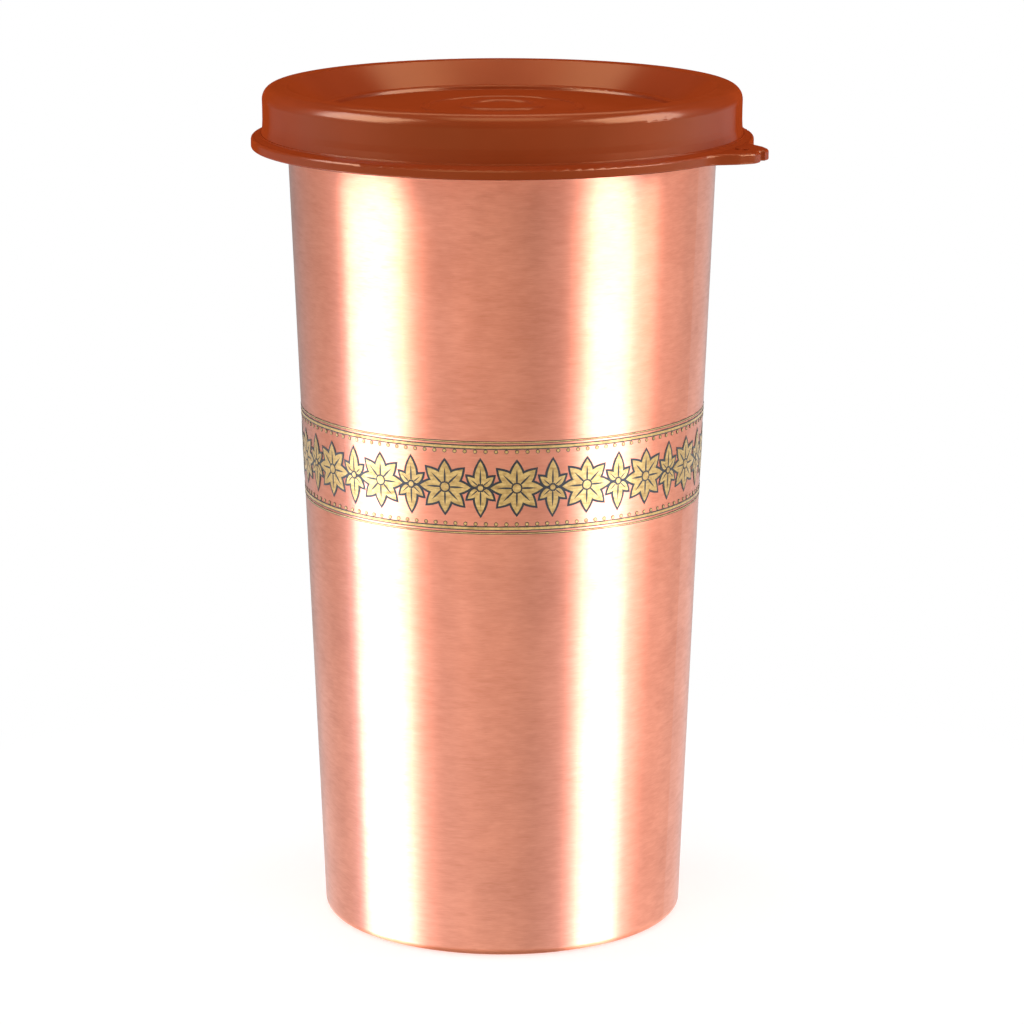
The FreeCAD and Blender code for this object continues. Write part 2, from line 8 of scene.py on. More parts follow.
import bpy
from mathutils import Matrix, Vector


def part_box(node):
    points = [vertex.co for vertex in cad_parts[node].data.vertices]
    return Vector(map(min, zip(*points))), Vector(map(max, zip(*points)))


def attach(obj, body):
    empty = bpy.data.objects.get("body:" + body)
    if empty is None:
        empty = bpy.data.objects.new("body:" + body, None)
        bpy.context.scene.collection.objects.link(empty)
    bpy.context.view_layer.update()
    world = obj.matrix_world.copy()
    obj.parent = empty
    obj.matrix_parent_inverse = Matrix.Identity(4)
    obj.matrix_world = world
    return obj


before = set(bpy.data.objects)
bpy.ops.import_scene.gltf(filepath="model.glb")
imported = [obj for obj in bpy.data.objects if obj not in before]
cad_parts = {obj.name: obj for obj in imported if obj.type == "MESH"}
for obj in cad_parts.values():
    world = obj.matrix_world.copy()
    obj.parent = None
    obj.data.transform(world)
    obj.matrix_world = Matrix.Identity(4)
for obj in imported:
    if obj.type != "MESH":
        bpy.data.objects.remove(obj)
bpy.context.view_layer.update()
MM = 0.001

SHELL_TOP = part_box("outer_shell")[1]   # the far corner of its box: its rim is its widest ring
WALL_SLOPE = math.tan(math.radians(2.285))


def wall_radius(height):
    """Radius of the shell's tapered outside at a height."""
    return SHELL_TOP.x - (SHELL_TOP.z - height) * WALL_SLOPE


# ---------------------------------------------------------------- node helpers

def place(tree, kind, sockets=None, **settings):
    """Add a node, set its options, then set or link its inputs by name or number."""
    made = tree.nodes.new(kind)
    for option, choice in settings.items():
        setattr(made, option, choice)
    for key, given in (sockets or {}).items():
        if isinstance(given, bpy.types.NodeSocket):
            tree.links.new(given, made.inputs[key])
        else:
            made.inputs[key].default_value = given
    return made


def sums(tree, operation, *values, clamp=False):
    """One step of arithmetic."""
    kind = "ShaderNodeMath"
    return place(tree, kind, dict(enumerate(values)), operation=operation, use_clamp=clamp).outputs[0]


def times(tree, first, second):
    return sums(tree, "MULTIPLY", first, second)


def weighted(tree, *pairs):
    """The sum of some values, each times its share."""
    total = times(tree, *pairs[0])
    for value, share in pairs[1:]:
        total = sums(tree, "ADD", total, times(tree, value, share))
    return total


def spot_at(tree, x=0.0, y=0.0, z=0.0):
    """A vector from its three parts."""
    return place(tree, "ShaderNodeCombineXYZ", {0: x, 1: y, 2: z}).outputs[0]


def parts_of(tree, vector):
    """The three parts of a vector."""
    return place(tree, "ShaderNodeSeparateXYZ", {0: vector}).outputs


def length_of(tree, vector):
    return place(tree, "ShaderNodeVectorMath", {0: vector}, operation="LENGTH").outputs["Value"]


def stretched(tree, vector, by):
    return place(tree, "ShaderNodeVectorMath", {0: vector, 1: by}, operation="MULTIPLY").outputs[0]


def blended(tree, amount, first, second):
    """A colour between two others."""
    mix = place(tree, "ShaderNodeMix", {0: amount, 6: first, 7: second}, data_type="RGBA")
    return mix.outputs[2]


def chosen(tree, amount, first, second):
    """A value between two others."""
    return place(tree, "ShaderNodeMix", {0: amount, 2: first, 3: second}).outputs[0]


def ranged(tree, given, low, high, to_low=0.0, to_high=1.0, smooth=False):
    """A value moved from one range to another, and held inside it."""
    return place(tree, "ShaderNodeMapRange", {0: given, 1: low, 2: high, 3: to_low, 4: to_high},
                 interpolation_type="SMOOTHSTEP" if smooth else "LINEAR").outputs[0]


def noise(tree, vector, scale, detail=2.0, roughness=0.5):
    sockets = {"Vector": vector, "Scale": scale, "Detail": detail, "Roughness": roughness}
    return place(tree, "ShaderNodeTexNoise", sockets).outputs["Fac"]


def group(name, kind, inputs, outputs):
    """An empty node group with named inputs (name, type, value) and outputs (name, type)."""
    tree = bpy.data.node_groups.new(name, kind)
    for label, socket_kind, start in inputs:
        socket = tree.interface.new_socket(label, in_out="INPUT", socket_type=socket_kind)
        if start is not None:
            socket.default_value = start
    for label, socket_kind in outputs:
        tree.interface.new_socket(label, in_out="OUTPUT", socket_type=socket_kind)
    return tree, tree.nodes.new("NodeGroupInput").outputs, tree.nodes.new("NodeGroupOutput").inputs


VECTOR, FLOAT, WHOLE = "NodeSocketVector", "NodeSocketFloat", "NodeSocketInt"
MATERIAL, GEOMETRY = "NodeSocketMaterial", "NodeSocketGeometry"


# ---------------------------------------------------------------- effects that several finishes share

def make_turned_grain():
    """Fine lines that run round the axis, as a brush leaves on a turned or spun piece.

    Streaks are long round the axis and thin across it, up a wall and out along a floor alike."""
    tree, given, wanted = group(
        "turned_grain", "ShaderNodeTree",
        [("Point", VECTOR, None), ("Streaks", FLOAT, 45.0), ("Lines", FLOAT, 9000.0), ("Blotches", FLOAT, 60.0)],
        [("Height", FLOAT), ("Tone", FLOAT)])
    point = parts_of(tree, given["Point"])
    across = sums(tree, "ADD", length_of(tree, spot_at(tree, point[0], point[1])), point[2])

    def streaks(length_share, width_share, detail):
        along = times(tree, given["Streaks"], length_share)
        thin = times(tree, given["Lines"], width_share)
        spot = spot_at(tree, times(tree, point[0], along), times(tree, point[1], along), times(tree, across, thin))
        return noise(tree, spot, 1.0, detail, roughness=0.6)

    fine = streaks(length_share=2.2, width_share=1.0, detail=3.0)
    broad = streaks(length_share=1.0, width_share=0.18, detail=2.0)
    cloudy = noise(tree, given["Point"], given["Blotches"])
    tree.links.new(weighted(tree, (fine, 0.65), (broad, 0.35)), wanted["Height"])
    tone = weighted(tree, (fine, 0.4), (broad, 0.35), (cloudy, 0.25))
    tree.links.new(ranged(tree, tone, 0.36, 0.64), wanted["Tone"])
    return tree


def make_handling():
    """Faint smears and dull patches that hands and cloths leave."""
    tree, given, wanted = group(
        "handling", "ShaderNodeTree",
        [("Point", VECTOR, None), ("Size", FLOAT, 0.02), ("Amount", FLOAT, 0.5)],
        [("Dull", FLOAT)])
    scale = sums(tree, "DIVIDE", 1.0, given["Size"])
    patches = noise(tree, given["Point"], scale, detail=4.0, roughness=0.62)
    upright = stretched(tree, given["Point"], (1.0, 1.0, 0.35))
    smears = noise(tree, upright, times(tree, scale, 3.1), detail=3.0, roughness=0.55)
    mask = ranged(tree, weighted(tree, (patches, 0.7), (smears, 0.3)), 0.42, 0.66)
    tree.links.new(times(tree, mask, given["Amount"]), wanted["Dull"])
    return tree


TURNED_GRAIN = make_turned_grain()
HANDLING = make_handling()


# ---------------------------------------------------------------- finishes

def new_finish(name, settings):
    """A material with one Principled shader; returns it, its tree, the shader and the piece's own coordinates."""
    material = bpy.data.materials.new(name)
    material.use_nodes = True
    tree = material.node_tree
    shader = tree.nodes["Principled BSDF"]
    for socket, setting in settings.items():
        shader.inputs[socket].default_value = setting
    return material, tree, shader, place(tree, "ShaderNodeTexCoord").outputs["Object"]


def effect(tree, kind, point, settings):
    """A shared effect placed in a material, with its own values; returns its outputs."""
    return place(tree, "ShaderNodeGroup", {"Point": point, **settings}, node_tree=kind).outputs


def bump(tree, shader, height, strength, distance, under=None):
    """Relief from a height, on top of another relief if one is given."""
    sockets = {"Height": height, "Strength": strength, "Distance": distance}
    if under:
        sockets["Normal"] = under
    normal = place(tree, "ShaderNodeBump", sockets).outputs[0]
    tree.links.new(normal, shader.inputs["Normal"])
    return normal


SMEAR_ROUGHNESS = 0.1   # how much rougher the dullest smear is


def brushed_metal(name, tones, roughness, grain, relief, dull, anisotropy=0.0, turn=0.0, coat=None):
    """Metal brushed round the axis: two tones along its lines, a little relief, and dull patches."""
    light, dark = tones
    settings = {"Metallic": 1.0, "Anisotropic": anisotropy, "Anisotropic Rotation": turn}
    settings.update(coat or {})
    material, tree, shader, point = new_finish(name, settings)
    lines = effect(tree, TURNED_GRAIN, point, grain)
    smears = effect(tree, HANDLING, point, dull)
    tree.links.new(blended(tree, lines["Tone"], dark, light), shader.inputs["Base Color"])
    spread = ranged(tree, lines["Tone"], 0.0, 1.0, roughness * 1.1, roughness * 0.9)
    tree.links.new(sums(tree, "ADD", spread, times(tree, smears["Dull"], SMEAR_ROUGHNESS), clamp=True),
                   shader.inputs["Roughness"])
    bump(tree, shader, lines["Height"], strength=relief, distance=0.02 * MM)
    return material


def moulded_plastic():
    """Satin polyethylene: faint mould grain, flow clouds, and dull patches from handling.

    Its fine grain hides the sheen at a grazing angle, so the gloss fades there."""
    material, tree, shader, point = new_finish("lid_satin_plastic", {"Specular Tint": (1.0, 0.58, 0.24, 1)})
    facing = place(tree, "ShaderNodeLayerWeight", {"Blend": 0.5}).outputs["Facing"]
    gloss = ranged(tree, facing, 0.15, 0.78, to_low=0.5, to_high=0.0, smooth=True)
    tree.links.new(gloss, shader.inputs["Specular IOR Level"])
    grain = noise(tree, point, 5200.0)
    clouds = noise(tree, point, 75.0, detail=3.0, roughness=0.55)
    smears = effect(tree, HANDLING, point, {"Size": 0.02, "Amount": 0.3})
    tree.links.new(blended(tree, ranged(tree, clouds, 0.3, 0.7), LID_DEEP, LID_PALE), shader.inputs["Base Color"])
    tree.links.new(sums(tree, "ADD", 0.20, times(tree, smears["Dull"], SMEAR_ROUGHNESS)),
                   shader.inputs["Roughness"])
    waviness = bump(tree, shader, clouds, strength=0.04, distance=0.25 * MM)
    bump(tree, shader, grain, strength=0.10, distance=0.02 * MM, under=waviness)
    return material


def glass_solder():
    """Dark solder glass, cloudy and a little crazed."""
    material, tree, shader, point = new_finish("seal_solder_glass", {"Coat Weight": 0.5, "Coat Roughness": 0.08})
    mottle = noise(tree, point, 900.0, detail=4.0, roughness=0.6)
    tree.links.new(blended(tree, mottle, (0.03, 0.032, 0.03, 1), (0.16, 0.17, 0.15, 1)),
                   shader.inputs["Base Color"])
    tree.links.new(ranged(tree, mottle, 0.3, 0.7, 0.15, 0.4), shader.inputs["Roughness"])
    bump(tree, shader, mottle, strength=0.3, distance=0.05 * MM)
    return material


def pressed_powder():
    """Getter tablet: sintered metal powder, dark and grainy."""
    material, tree, shader, point = new_finish("getter_sintered_powder", {"Metallic": 0.7})
    grains = place(tree, "ShaderNodeTexVoronoi", {"Vector": point, "Scale": 4200.0}).outputs["Distance"]
    tree.links.new(blended(tree, grains, (0.10, 0.10, 0.11, 1), (0.30, 0.29, 0.28, 1)),
                   shader.inputs["Base Color"])
    tree.links.new(ranged(tree, grains, 0.0, 0.8, 0.45, 0.75), shader.inputs["Roughness"])
    bump(tree, shader, grains, strength=0.5, distance=0.06 * MM)
    return material


def print_ink(name, light, dark, metallic, smoothest, roughest):
    """Printed ink or metallic paint, mottled as it dries."""
    material, tree, shader, point = new_finish(name, {"Metallic": metallic})
    mottle = noise(tree, point, 1400.0, detail=3.0, roughness=0.6)
    streak = noise(tree, stretched(tree, point, (1.0, 1.0, 6.0)), 420.0, detail=3.0)
    shade = weighted(tree, (mottle, 0.5), (streak, 0.5))
    tree.links.new(blended(tree, ranged(tree, shade, 0.35, 0.65), dark, light), shader.inputs["Base Color"])
    tree.links.new(ranged(tree, shade, 0.35, 0.65, roughest, smoothest), shader.inputs["Roughness"])
    bump(tree, shader, mottle, strength=0.15, distance=0.02 * MM)
    return material


LID_PALE, LID_DEEP = (0.340, 0.047, 0.0105, 1), (0.308, 0.0415, 0.008, 1)
COPPER = (0.96, 0.312, 0.160, 1), (0.85, 0.230, 0.094, 1)   # the light tone, then the dark one
STEEL = (0.66, 0.63, 0.59, 1), (0.50, 0.475, 0.445, 1)
BRIGHT_COPPER = (0.93, 0.50, 0.36, 1), (0.82, 0.38, 0.26, 1)
ACROSS_THE_BRUSH = 0.25   # a quarter turn, so that highlights stretch across the brushed lines

finishes = {
    "outer_shell": brushed_metal(
        "shell_brushed_copper", COPPER, roughness=0.36, relief=0.25,
        grain={"Streaks": 280.0, "Lines": 7000.0, "Blotches": 90.0}, dull={"Size": 0.03, "Amount": 0.4},
        anisotropy=1.0, turn=ACROSS_THE_BRUSH,
        coat={"Coat Weight": 0.2, "Coat Roughness": 0.3, "Coat IOR": 3.0}),
    "inner_liner": brushed_metal(
        "liner_brushed_steel", STEEL, roughness=0.34, relief=0.30,
        grain={"Streaks": 30.0, "Lines": 5000.0, "Blotches": 50.0}, dull={"Size": 0.02, "Amount": 0.4},
        anisotropy=0.6, turn=ACROSS_THE_BRUSH),
    "base_plate": brushed_metal(
        "plate_pressed_steel", STEEL, roughness=0.42, relief=0.20,
        grain={"Streaks": 90.0, "Lines": 2600.0, "Blotches": 160.0}, dull={"Size": 0.008, "Amount": 0.8}),
    "base_cover": brushed_metal(
        "cover_spun_steel", STEEL, roughness=0.32, relief=0.45,
        grain={"Streaks": 20.0, "Lines": 4200.0, "Blotches": 70.0}, dull={"Size": 0.012, "Amount": 0.6},
        anisotropy=0.5, turn=ACROSS_THE_BRUSH),
    "getter_holder": brushed_metal(
        "strap_rolled_steel", STEEL, roughness=0.40, relief=0.2,
        grain={"Streaks": 300.0, "Lines": 1500.0, "Blotches": 400.0}, dull={"Size": 0.003, "Amount": 0.8}),
    "radiation_foil": brushed_metal(
        "foil_bright_copper", BRIGHT_COPPER, roughness=0.22, relief=0.6,
        grain={"Streaks": 120.0, "Lines": 700.0, "Blotches": 240.0}, dull={"Size": 0.006, "Amount": 0.5}),
    "seal_bead": glass_solder(),
    "getter_pellet": pressed_powder(),
    "lid": moulded_plastic(),
}
for node_name, finish in finishes.items():
    for material_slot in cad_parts[node_name].material_slots:
        material_slot.material = finish
GOLD = print_ink("print_antique_gold", (0.62, 0.42, 0.15, 1), (0.34, 0.20, 0.06, 1),
                 metallic=0.75, smoothest=0.28, roughest=0.45)
INK = print_ink("print_dark_line", (0.016, 0.013, 0.010, 1), (0.006, 0.005, 0.004, 1),
                metallic=0.0, smoothest=0.35, roughest=0.5)


# ---------------------------------------------------------------- the frieze printed round the shell

FILM = 0.012 * MM    # thickness of one layer of ink
LAYER = 0.014 * MM   # step from one layer to the next
WELD = 1e-7          # points nearer than this become one


def geometry_group(name, inputs):
    return group(name, "GeometryNodeTree", inputs, [("Geometry", GEOMETRY)])


def joined(tree, *parts):
    join = tree.nodes.new("GeometryNodeJoinGeometry")
    for part in parts:
        tree.links.new(part, join.inputs[0])
    return join.outputs[0]


def moved(tree, shape, **by):
    return place(tree, "GeometryNodeTransform", {"Geometry": shape, **by}).outputs[0]


def welded(tree, shape, distance=WELD):
    return place(tree, "GeometryNodeMergeByDistance", {"Geometry": shape, "Distance": distance}).outputs[0]


def realized(tree, shape):
    return place(tree, "GeometryNodeRealizeInstances", {"Geometry": shape}).outputs[0]


def points_of(tree):
    """The three coordinates of each point of the shape at hand."""
    return parts_of(tree, tree.nodes.new("GeometryNodeInputPosition").outputs[0])


def inked(tree, shape, layer, material):
    """A flat shape made a closed film, raised to its layer and given its ink."""
    film = place(tree, "GeometryNodeExtrudeMesh", {
        "Mesh": shape, "Offset Scale": FILM, "Individual": False}).outputs["Mesh"]
    under = place(tree, "GeometryNodeFlipFaces", {"Mesh": shape}).outputs[0]
    closed = welded(tree, joined(tree, film, under))
    raised = moved(tree, closed, Translation=spot_at(tree, z=layer * LAYER))
    return place(tree, "GeometryNodeSetMaterial", {"Geometry": raised, "Material": material}).outputs[0]


def make_petal():
    """One pointed petal along +X, from its root at the origin."""
    tree, given, wanted = geometry_group(
        "petal", [("Length", FLOAT, 0.004), ("Width", FLOAT, 0.0016), ("Start", FLOAT, 0.0)])
    sheet = place(tree, "GeometryNodeMeshGrid", {"Size X": 1.0, "Size Y": 2.0, "Vertices X": 9, "Vertices Y": 3})
    spot = points_of(tree)
    way = sums(tree, "ADD", spot[0], 0.5, clamp=True)
    swell = times(tree, sums(tree, "SQRT", way), sums(tree, "SUBTRACT", 1.0, way))
    side = times(tree, times(tree, spot[1], given["Width"]), times(tree, swell, 1.3))
    along = sums(tree, "MULTIPLY_ADD", way, given["Length"], given["Start"])
    shaped = place(tree, "GeometryNodeSetPosition", {
        "Geometry": sheet.outputs["Mesh"], "Position": spot_at(tree, along, side)}).outputs[0]
    tree.links.new(welded(tree, shaped, 1e-6), wanted[0])
    return tree


PETAL = make_petal()


def petal(tree, length, width, start):
    return place(tree, "GeometryNodeGroup", {"Length": length, "Width": width, "Start": start},
                 node_tree=PETAL).outputs[0]


def make_layered_petal():
    """A gold petal with a dark outline and a dark vein."""
    tree, given, wanted = geometry_group("layered_petal", [
        ("Length", FLOAT, 0.004), ("Width", FLOAT, 0.0016), ("Start", FLOAT, 0.0005), ("Outline", FLOAT, 0.0002),
        ("Gold", MATERIAL, None), ("Ink", MATERIAL, None)])
    length, width, start, edge = given["Length"], given["Width"], given["Start"], given["Outline"]
    outline = petal(tree, sums(tree, "MULTIPLY_ADD", edge, 3.2, length),
                    sums(tree, "MULTIPLY_ADD", edge, 3.0, width), sums(tree, "SUBTRACT", start, edge))
    body = petal(tree, length, width, start)
    vein = petal(tree, times(tree, length, 0.7), times(tree, width, 0.16), start)
    layers = [inked(tree, outline, 1, given["Ink"]), inked(tree, body, 2, given["Gold"]),
              inked(tree, vein, 3, given["Ink"])]
    tree.links.new(joined(tree, *layers), wanted[0])
    return tree


LAYERED_PETAL = make_layered_petal()


def spread_round(tree, shape, count, radius):
    """Copies of a shape on a circle in the plane, each pointing outwards."""
    ring = place(tree, "GeometryNodeMeshCircle", {"Vertices": count, "Radius": radius}).outputs[0]
    spot = tree.nodes.new("GeometryNodeInputPosition").outputs[0]
    facing = place(tree, "FunctionNodeAlignRotationToVector", {"Vector": spot}, axis="X", pivot_axis="Z")
    return place(tree, "GeometryNodeInstanceOnPoints", {
        "Points": ring, "Instance": shape, "Rotation": facing.outputs[0]}).outputs[0]


def disc(tree, radius, sides):
    sockets = {"Vertices": sides, "Radius": radius}
    return place(tree, "GeometryNodeMeshCircle", sockets, fill_type="NGON").outputs[0]


def dot(tree, radius, outline, gold, ink, sides):
    """A gold dot with a dark edge."""
    edge = inked(tree, disc(tree, sums(tree, "ADD", radius, outline), sides), 1, ink)
    return joined(tree, edge, inked(tree, disc(tree, radius, sides), 2, gold))


def make_frieze():
    """Rosettes and upright lozenges of petals between two ruled borders with a row of beads in each.

    The pattern is laid out flat, its run along X and its height along Y, then wrapped round the cone."""
    tree, given, wanted = geometry_group("printed_frieze", [
        ("Wall Radius", FLOAT, 0.035), ("Wall Slope", FLOAT, 0.04), ("Middle Height", FLOAT, 0.084),
        ("Repeats", WHOLE, 18), ("Petals", WHOLE, 8), ("Half Height", FLOAT, 0.0068),
        ("Petal Length", FLOAT, 0.0036), ("Petal Width", FLOAT, 0.0019), ("Outline", FLOAT, 0.00022),
        ("Gold", MATERIAL, None), ("Ink", MATERIAL, None)])
    gold, ink, outline = given["Gold"], given["Ink"], given["Outline"]
    run = times(tree, given["Wall Radius"], 2 * math.pi)
    pitch = sums(tree, "DIVIDE", run, given["Repeats"])

    def layered(length_share, width_share, start):
        return place(tree, "GeometryNodeGroup", {
            "Length": times(tree, given["Petal Length"], length_share),
            "Width": times(tree, given["Petal Width"], width_share),
            "Start": start, "Outline": outline, "Gold": gold, "Ink": ink}, node_tree=LAYERED_PETAL).outputs[0]

    def on_top(shape):
        return moved(tree, shape, Translation=(0, 0, 3 * LAYER))

    def row_of(shape, count, step, height):
        line = place(tree, "GeometryNodeMeshLine", {
            "Count": count, "Start Location": spot_at(tree, y=height), "Offset": spot_at(tree, step)}).outputs[0]
        return place(tree, "GeometryNodeInstanceOnPoints", {"Points": line, "Instance": shape}).outputs[0]

    def ruled(height, width, layer, material):
        strip = place(tree, "GeometryNodeMeshGrid", {
            "Size X": run, "Size Y": width, "Vertices X": 181, "Vertices Y": 2}).outputs["Mesh"]
        return inked(tree, moved(tree, strip, Translation=spot_at(tree, times(tree, run, 0.5), height)),
                     layer, material)

    eye = times(tree, given["Petal Width"], 0.34)
    rosette = joined(tree, spread_round(tree, layered(1.0, 1.0, 0.0), given["Petals"], eye),
                     on_top(dot(tree, eye, outline, gold, ink, 12)))
    upright = []
    for way in (-1, 1):
        upright.append(moved(tree, layered(1.12, 0.9, 0.5 * MM), Rotation=(0, 0, way * math.pi / 2)))
        for lean in (-0.85, 0.85):
            side_petal = layered(0.62, 0.6, 0.6 * MM)
            upright.append(moved(tree, side_petal, Rotation=(0, 0, way * (math.pi / 2 + lean))))
    upright.append(on_top(dot(tree, 0.45 * MM, outline, gold, ink, 10)))
    lozenge = moved(tree, joined(tree, *upright), Translation=spot_at(tree, times(tree, pitch, 0.5)))
    parts = [row_of(joined(tree, rosette, lozenge), given["Repeats"], pitch, 0.0)]

    bead = dot(tree, 0.26 * MM, 0.1 * MM, gold, ink, 8)
    beads = times(tree, given["Repeats"], 7)
    for side in (-1, 1):
        def level(beyond, side=side):
            return times(tree, sums(tree, "ADD", given["Half Height"], beyond), side)
        parts.append(row_of(bead, beads, sums(tree, "DIVIDE", run, beads), level(-0.75 * MM)))
        for beyond, dark_width, gold_width in ((0.0, 0.75 * MM, 0.4 * MM), (0.85 * MM, 0.36 * MM, 0.16 * MM)):
            parts += [ruled(level(beyond), dark_width, 1, ink), ruled(level(beyond), gold_width, 2, gold)]
    flat = realized(tree, joined(tree, *parts))

    spot = points_of(tree)
    turn = sums(tree, "DIVIDE", spot[0], given["Wall Radius"])
    wall = sums(tree, "MULTIPLY_ADD", spot[1], given["Wall Slope"], given["Wall Radius"])
    reach = sums(tree, "ADD", wall, spot[2])
    wrapped = place(tree, "GeometryNodeSetPosition", {"Geometry": flat, "Position": spot_at(
        tree, times(tree, sums(tree, "COSINE", turn), reach), times(tree, sums(tree, "SINE", turn), reach),
        sums(tree, "ADD", given["Middle Height"], spot[1]))}).outputs[0]
    tree.links.new(realized(tree, welded(tree, wrapped)), wanted[0])
    return tree


def grown(name, tree, sizes):
    """Run a geometry tree with chosen inputs and keep its result as a plain mesh."""
    holder = bpy.data.objects.new(name + "_holder", bpy.data.meshes.new(name + "_holder"))
    bpy.context.scene.collection.objects.link(holder)
    modifier = holder.modifiers.new("grow", "NODES")
    modifier.node_group = tree
    for item in tree.interface.items_tree:
        if item.in_out == "INPUT" and item.name in sizes:
            modifier[item.identifier] = sizes[item.name]
    bpy.context.view_layer.update()
    depsgraph = bpy.context.evaluated_depsgraph_get()
    mesh = bpy.data.meshes.new_from_object(holder.evaluated_get(depsgraph), depsgraph=depsgraph)
    mesh.name = name
    bpy.data.objects.remove(holder)
    piece = bpy.data.objects.new(name, mesh)
    bpy.context.scene.collection.objects.link(piece)
    return piece


FRIEZE_HEIGHT = 83.5 * MM
frieze = grown("printed_frieze", make_frieze(), {
    "Wall Radius": wall_radius(FRIEZE_HEIGHT), "Wall Slope": WALL_SLOPE, "Middle Height": FRIEZE_HEIGHT,
    "Repeats": 18, "Petals": 8, "Half Height": 7.0 * MM, "Petal Length": 3.7 * MM, "Petal Width": 2.1 * MM,
    "Outline": 0.26 * MM, "Gold": GOLD, "Ink": INK})
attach(frieze, "cup")


# ---------------------------------------------------------------- camera

LOOK_TURN = math.radians(26.0)   # from -Y towards the tab
LOOK_DOWN = 0.225                # radians below level
LOOK_REACH, LOOK_HEIGHT = 0.702698, 0.232288   # from the axis, and above the floor
toward = Vector((math.sin(LOOK_TURN), -math.cos(LOOK_TURN), 0.0))   # from the axis to the camera
rightward = Vector((math.cos(LOOK_TURN), math.sin(LOOK_TURN), 0.0))

camera = bpy.data.objects.new("camera", bpy.data.cameras.new("camera"))
bpy.context.scene.collection.objects.link(camera)
camera.location = toward * LOOK_REACH + Vector((0, 0, LOOK_HEIGHT))
camera.rotation_euler = (math.pi / 2 - LOOK_DOWN, 0.0, LOOK_TURN)
camera.data.lens, camera.data.sensor_width = 143.945, 36.0
camera.data.shift_x = 0.00947
bpy.context.scene.camera = camera


def sideways(turn):
    """Level direction at an angle in degrees to the right of the camera, seen from the axis."""
    return toward * math.cos(math.radians(turn)) + rightward * math.sin(math.radians(turn))


# ---------------------------------------------------------------- floor, world and lamps

FLOOR_REACH, FLOOR_SIDES, FLOOR_LEVEL = 0.17, 96, -0.05 * MM
SHADOW_END, WHITE_START = 0.045, 0.15   # from the middle, the floor fades to white between these
FLOOR_GREY, FLOOR_GLOW = 0.60, 0.5

ROOM_FILL = 0.66   # light on matt surfaces
# What metal and plastic mirror: brightness by the height of the direction, from straight down to straight up.
ROOM_BANDS = [
    (-1.0, 0.3), (-0.62, 0.3), (-0.46, 1.32), (-0.36, 1.18), (-0.27, 0.26), (-0.1, 0.02), (0.1, 0.02),
    (0.5, 0.02), (0.8, 0.02), (0.92, 0.2), (1.0, 0.4)]
# Sides of that room: turn from the camera in degrees, the cosine of the angle at which the side begins,
# the factor on the brightness of its middle, and the glow added there below the horizon.
ROOM_SIDES = [
    (12.0, 0.1, 1.9, 0.0), (-40.0, 0.3, 1.6, 0.0), (124.0, 0.4, 0.85, 0.84), (-136.0, 0.5, 1.7, 0.24),
    (180.0, 0.6, 1.2, 0.15)]

LAMP_AIM = Vector((0, 0, 0.085))
COOL_CARD, WARM_CARD = (0.88, 0.98, 1.27), (1.1, 0.8, 0.5)
# Distance from the axis, height and tallness of each kind of card.
CARD_PLACES = {"high": (0.62, 0.46, 0.50), "low": (0.62, -0.25, 0.44), "edge": (0.66, 0.10, 1.5)}
# For each side: the turn of its fill, then the turn, width and radiance of its three cards.
LAMP_SIDES = {
    "left": (-105.0, {"high": (-75.0, 0.54, 10.5), "low": (-78.0, 0.43, 8.0), "edge": (-64.0, 1.4, 0.20)}),
    "right": (100.1, {"high": (71.5, 0.55, 9.4), "low": (62.0, 0.34, 8.0), "edge": (69.0, 1.4, 0.23)}),
}


def make_floor():
    """A pale floor that keeps the soft shadow under the foot and fades to white further out."""
    mesh = bpy.data.meshes.new("floor")
    turns = [2 * math.pi * step / FLOOR_SIDES for step in range(FLOOR_SIDES)]
    rim = [(FLOOR_REACH * math.cos(turn), FLOOR_REACH * math.sin(turn), FLOOR_LEVEL) for turn in turns]
    mesh.from_pydata(rim, [], [list(range(FLOOR_SIDES))])
    piece = bpy.data.objects.new("floor", mesh)
    bpy.context.scene.collection.objects.link(piece)
    material = bpy.data.materials.new("floor_pale")
    material.use_nodes = True
    tree = material.node_tree
    tree.nodes.clear()
    point = place(tree, "ShaderNodeTexCoord").outputs["Object"]
    fade = ranged(tree, length_of(tree, point), SHADOW_END, WHITE_START, smooth=True)
    lit = place(tree, "ShaderNodeBsdfDiffuse", {"Color": (FLOOR_GREY, FLOOR_GREY, FLOOR_GREY, 1)}).outputs[0]
    white = place(tree, "ShaderNodeEmission", {"Color": (1, 1, 1, 1), "Strength": 1.0}).outputs[0]
    path = tree.nodes.new("ShaderNodeLightPath").outputs
    glow = place(tree, "ShaderNodeEmission", {"Strength": times(tree, path["Is Camera Ray"], FLOOR_GLOW)})
    shadowed = place(tree, "ShaderNodeAddShader", {0: lit, 1: glow.outputs[0]}).outputs[0]
    seen = times(tree, fade, path["Is Camera Ray"])
    upper = place(tree, "ShaderNodeMixShader", {0: seen, 1: shadowed, 2: white}).outputs[0]
    clear = place(tree, "ShaderNodeBsdfTransparent").outputs[0]
    under = tree.nodes.new("ShaderNodeNewGeometry").outputs["Backfacing"]
    both = place(tree, "ShaderNodeMixShader", {0: under, 1: upper, 2: clear}).outputs[0]
    place(tree, "ShaderNodeOutputMaterial", {"Surface": both})
    mesh.materials.append(material)
    piece.visible_glossy = piece.visible_shadow = False   # metal sees the pale room below it instead


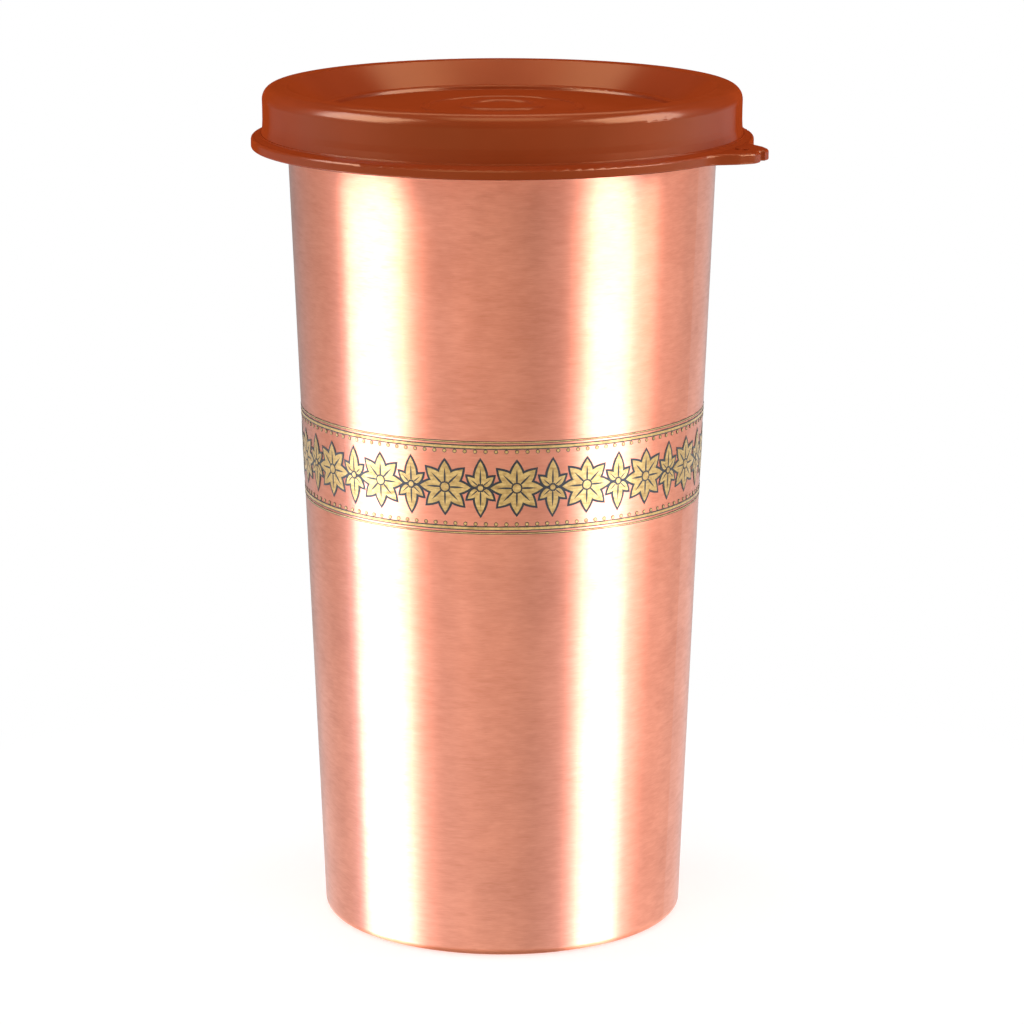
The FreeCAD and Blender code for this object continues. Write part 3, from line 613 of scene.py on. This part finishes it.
def make_world():
    """White backdrop; metal and plastic mirror a pale room that is dim round the horizon and varies by side."""
    world = bpy.data.worlds.new("studio")
    bpy.context.scene.world = world
    world.use_nodes = True
    tree = world.node_tree
    tree.nodes.clear()
    way = place(tree, "ShaderNodeTexCoord").outputs["Generated"]
    climb = parts_of(tree, way)[2]
    bands = place(tree, "ShaderNodeValToRGB", {0: ranged(tree, climb, -1.0, 1.0)})
    bands.color_ramp.interpolation = "B_SPLINE"
    stops = bands.color_ramp.elements
    for height, level in ROOM_BANDS[1:-1]:
        stops.new((height + 1) / 2)
    for stop, (height, level) in zip(stops, ROOM_BANDS):
        stop.color = (level, level, level, 1)
    mirrored = bands.outputs["Color"]
    low_walls = ranged(tree, climb, 0.04, -0.1)
    for turn, start, gain, glow in ROOM_SIDES:
        facing = place(tree, "ShaderNodeVectorMath", {0: way, 1: tuple(sideways(turn))}, operation="DOT_PRODUCT")
        lobe = ranged(tree, facing.outputs["Value"], start, 1.0, smooth=True)
        mirrored = times(tree, mirrored, sums(tree, "MULTIPLY_ADD", lobe, gain - 1.0, 1.0))
        mirrored = sums(tree, "ADD", mirrored, times(tree, low_walls, times(tree, lobe, glow)))
    path = tree.nodes.new("ShaderNodeLightPath").outputs
    bounced = sums(tree, "MAXIMUM", path["Is Glossy Ray"], path["Is Transmission Ray"])
    unseen = chosen(tree, bounced, ROOM_FILL, mirrored)
    strength = chosen(tree, path["Is Camera Ray"], unseen, 1.0)
    background = place(tree, "ShaderNodeBackground", {"Color": (1, 1, 1, 1), "Strength": strength}).outputs[0]
    place(tree, "ShaderNodeOutputWorld", {"Surface": background})


def soft_box(name, turn, distance, height, width, tall, radiance, card=None, fill=False):
    """A rectangular lamp that faces the cup, at a turn in degrees to the right of the camera.

    A card has a colour, is only mirrored and adds no light to matt surfaces; a fill is never mirrored."""
    lamp = bpy.data.lights.new(name, "AREA")
    lamp.shape, lamp.size, lamp.size_y = "RECTANGLE", width, tall
    lamp.energy = radiance * math.pi * width * tall
    holder = bpy.data.objects.new(name, lamp)
    bpy.context.scene.collection.objects.link(holder)
    holder.location = sideways(turn) * distance + Vector((0, 0, height))
    holder.rotation_euler = (LAMP_AIM - holder.location).to_track_quat("-Z", "Y").to_euler()
    holder.visible_camera = False
    holder.visible_diffuse, holder.visible_glossy = not card, not fill
    if card:
        lamp.color = card


make_floor()
make_world()
for side, (fill_turn, cards) in LAMP_SIDES.items():
    for kind, (turn, width, radiance) in cards.items():
        distance, height, tall = CARD_PLACES[kind]
        soft_box(f"card_{kind}_{side}", turn, distance, height, width, tall, radiance, card=COOL_CARD)
    soft_box("fill_" + side, fill_turn, distance=0.60, height=0.14, width=0.40, tall=0.40, radiance=3.6, fill=True)
soft_box("card_rear", 180.0, distance=0.36, height=0.76, width=0.70, tall=0.20, radiance=3.6, card=WARM_CARD)
soft_box("overhead", 0.0, distance=0.26, height=0.90, width=0.50, tall=0.42, radiance=2.4)

bpy.context.scene.view_settings.view_transform = "Standard"
bpy.context.view_layer.update()
